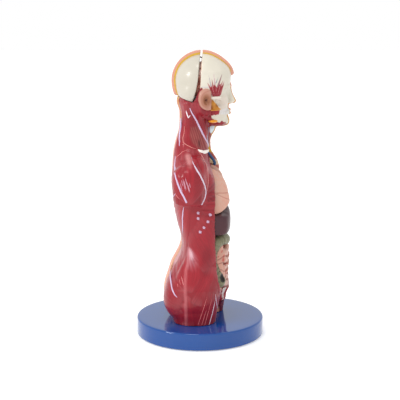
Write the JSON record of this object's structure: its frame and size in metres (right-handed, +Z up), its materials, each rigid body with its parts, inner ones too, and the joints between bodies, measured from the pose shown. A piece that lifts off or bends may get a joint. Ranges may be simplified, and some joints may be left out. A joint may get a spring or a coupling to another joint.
{
  "type": "torso anatomy model",
  "caption": "Dissectible human torso teaching model with an open front, lift-out organs, a removable skull cap and brain, and arm and thigh stumps, standing on a round base.",
  "frame": {"origin": "centre of the underside of the feet, on the figure's upright axis", "axes": "+Z up; the figure faces -Y; its right side is towards -X"},
  "size_m": [0.188, 0.188, 0.42],
  "materials": {
    "muscle_gloss": "hand painted, satin gloss",
    "bone_gloss": "hand painted, satin gloss",
    "brain_gloss": "painted, satin gloss",
    "lung_gloss": "painted, satin gloss",
    "heart_gloss": "painted, satin gloss",
    "airway_gloss": "painted, satin gloss",
    "liver_gloss": "painted, satin gloss",
    "stomach_gloss": "painted, satin gloss",
    "spleen_gloss": "painted, satin gloss",
    "kidney_gloss": "painted, satin gloss",
    "intestine_gloss": "painted, satin gloss",
    "base_gloss": "smooth gloss",
    "steel": "bright",
    "foot_rubber": "matt"
  },
  "bodies": {
    "torso": {"base_plate": "base_gloss", "rubber_foot_1": "foot_rubber", "rubber_foot_2": "foot_rubber", "rubber_foot_3": "foot_rubber", "rubber_foot_4": "foot_rubber", "base_screw_1": "steel", "base_screw_2": "steel", "base_screw_3": "steel", "base_screw_4": "steel", "torso_shell": "muscle_gloss", "head_shell": "bone_gloss", "skull_pin_left": "steel", "skull_pin_right": "steel", "skull_pin_top": "steel", "right_lung_pin": "steel", "left_lung_pin": "steel", "airway_pin": "steel", "kidney_pin": "steel", "pancreas_pin": "steel", "liver_pin": "steel", "intestine_pin_right": "steel", "intestine_pin_left": "steel"},
    "brain_right": {"brain_right": "brain_gloss"},
    "brain_left": {"brain_left": "brain_gloss"},
    "skull_cap": {"skull_cap": "bone_gloss"},
    "airway": {"airway": "airway_gloss", "heart_pin": "steel"},
    "heart_back": {"heart_back": "heart_gloss", "heart_front_pin": "steel"},
    "heart_front": {"heart_front": "heart_gloss"},
    "right_lung_back": {"right_lung_back": "lung_gloss", "right_lung_front_pin": "steel"},
    "right_lung_front": {"right_lung_front": "lung_gloss"},
    "left_lung_back": {"left_lung_back": "lung_gloss", "left_lung_front_pin": "steel"},
    "left_lung_front": {"left_lung_front": "lung_gloss"},
    "kidney_front": {"kidney_front": "kidney_gloss"},
    "pancreas_spleen": {"pancreas_spleen": "spleen_gloss", "stomach_pin": "steel"},
    "stomach": {"stomach": "stomach_gloss"},
    "liver": {"liver": "liver_gloss"},
    "intestine": {"intestine": "intestine_gloss"}
  },
  "joints": [
    {"name": "brain_right_lift", "type": "slide", "parent": "torso", "child": "brain_right", "axis": [0, 0.9563, 0.2924], "range_m": [0, 0.11]},
    {"name": "brain_left_lift", "type": "slide", "parent": "brain_right", "child": "brain_left", "axis": [0, 0.9563, 0.2924], "range_m": [0, 0.09]},
    {"name": "skull_cap_lift", "type": "slide", "parent": "brain_left", "child": "skull_cap", "axis": [0, 0.9563, 0.2924], "range_m": [0, 0.07]},
    {"name": "airway_lift", "type": "slide", "parent": "torso", "child": "airway", "axis": [0, -1, 0], "range_m": [0, 0.08]},
    {"name": "heart_back_lift", "type": "slide", "parent": "airway", "child": "heart_back", "axis": [0, -1, 0], "range_m": [0, 0.06]},
    {"name": "heart_front_lift", "type": "slide", "parent": "heart_back", "child": "heart_front", "axis": [0, -1, 0], "range_m": [0, 0.05]},
    {"name": "right_lung_back_lift", "type": "slide", "parent": "torso", "child": "right_lung_back", "axis": [0, -1, 0], "range_m": [0, 0.08]},
    {"name": "right_lung_front_lift", "type": "slide", "parent": "right_lung_back", "child": "right_lung_front", "axis": [0, -1, 0], "range_m": [0, 0.06]},
    {"name": "left_lung_back_lift", "type": "slide", "parent": "torso", "child": "left_lung_back", "axis": [0, -1, 0], "range_m": [0, 0.08]},
    {"name": "left_lung_front_lift", "type": "slide", "parent": "left_lung_back", "child": "left_lung_front", "axis": [0, -1, 0], "range_m": [0, 0.06]},
    {"name": "kidney_lift", "type": "slide", "parent": "torso", "child": "kidney_front", "axis": [0, -1, 0], "range_m": [0, 0.06]},
    {"name": "pancreas_spleen_lift", "type": "slide", "parent": "kidney_front", "child": "pancreas_spleen", "axis": [0, -1, 0], "range_m": [0, 0.07]},
    {"name": "stomach_lift", "type": "slide", "parent": "pancreas_spleen", "child": "stomach", "axis": [0, -1, 0], "range_m": [0, 0.06]},
    {"name": "liver_lift", "type": "slide", "parent": "stomach", "child": "liver", "axis": [0, -1, 0], "range_m": [0, 0.06]},
    {"name": "intestine_lift", "type": "slide", "parent": "torso", "child": "intestine", "axis": [0, -1, 0], "range_m": [0, 0.08]}
  ]
}
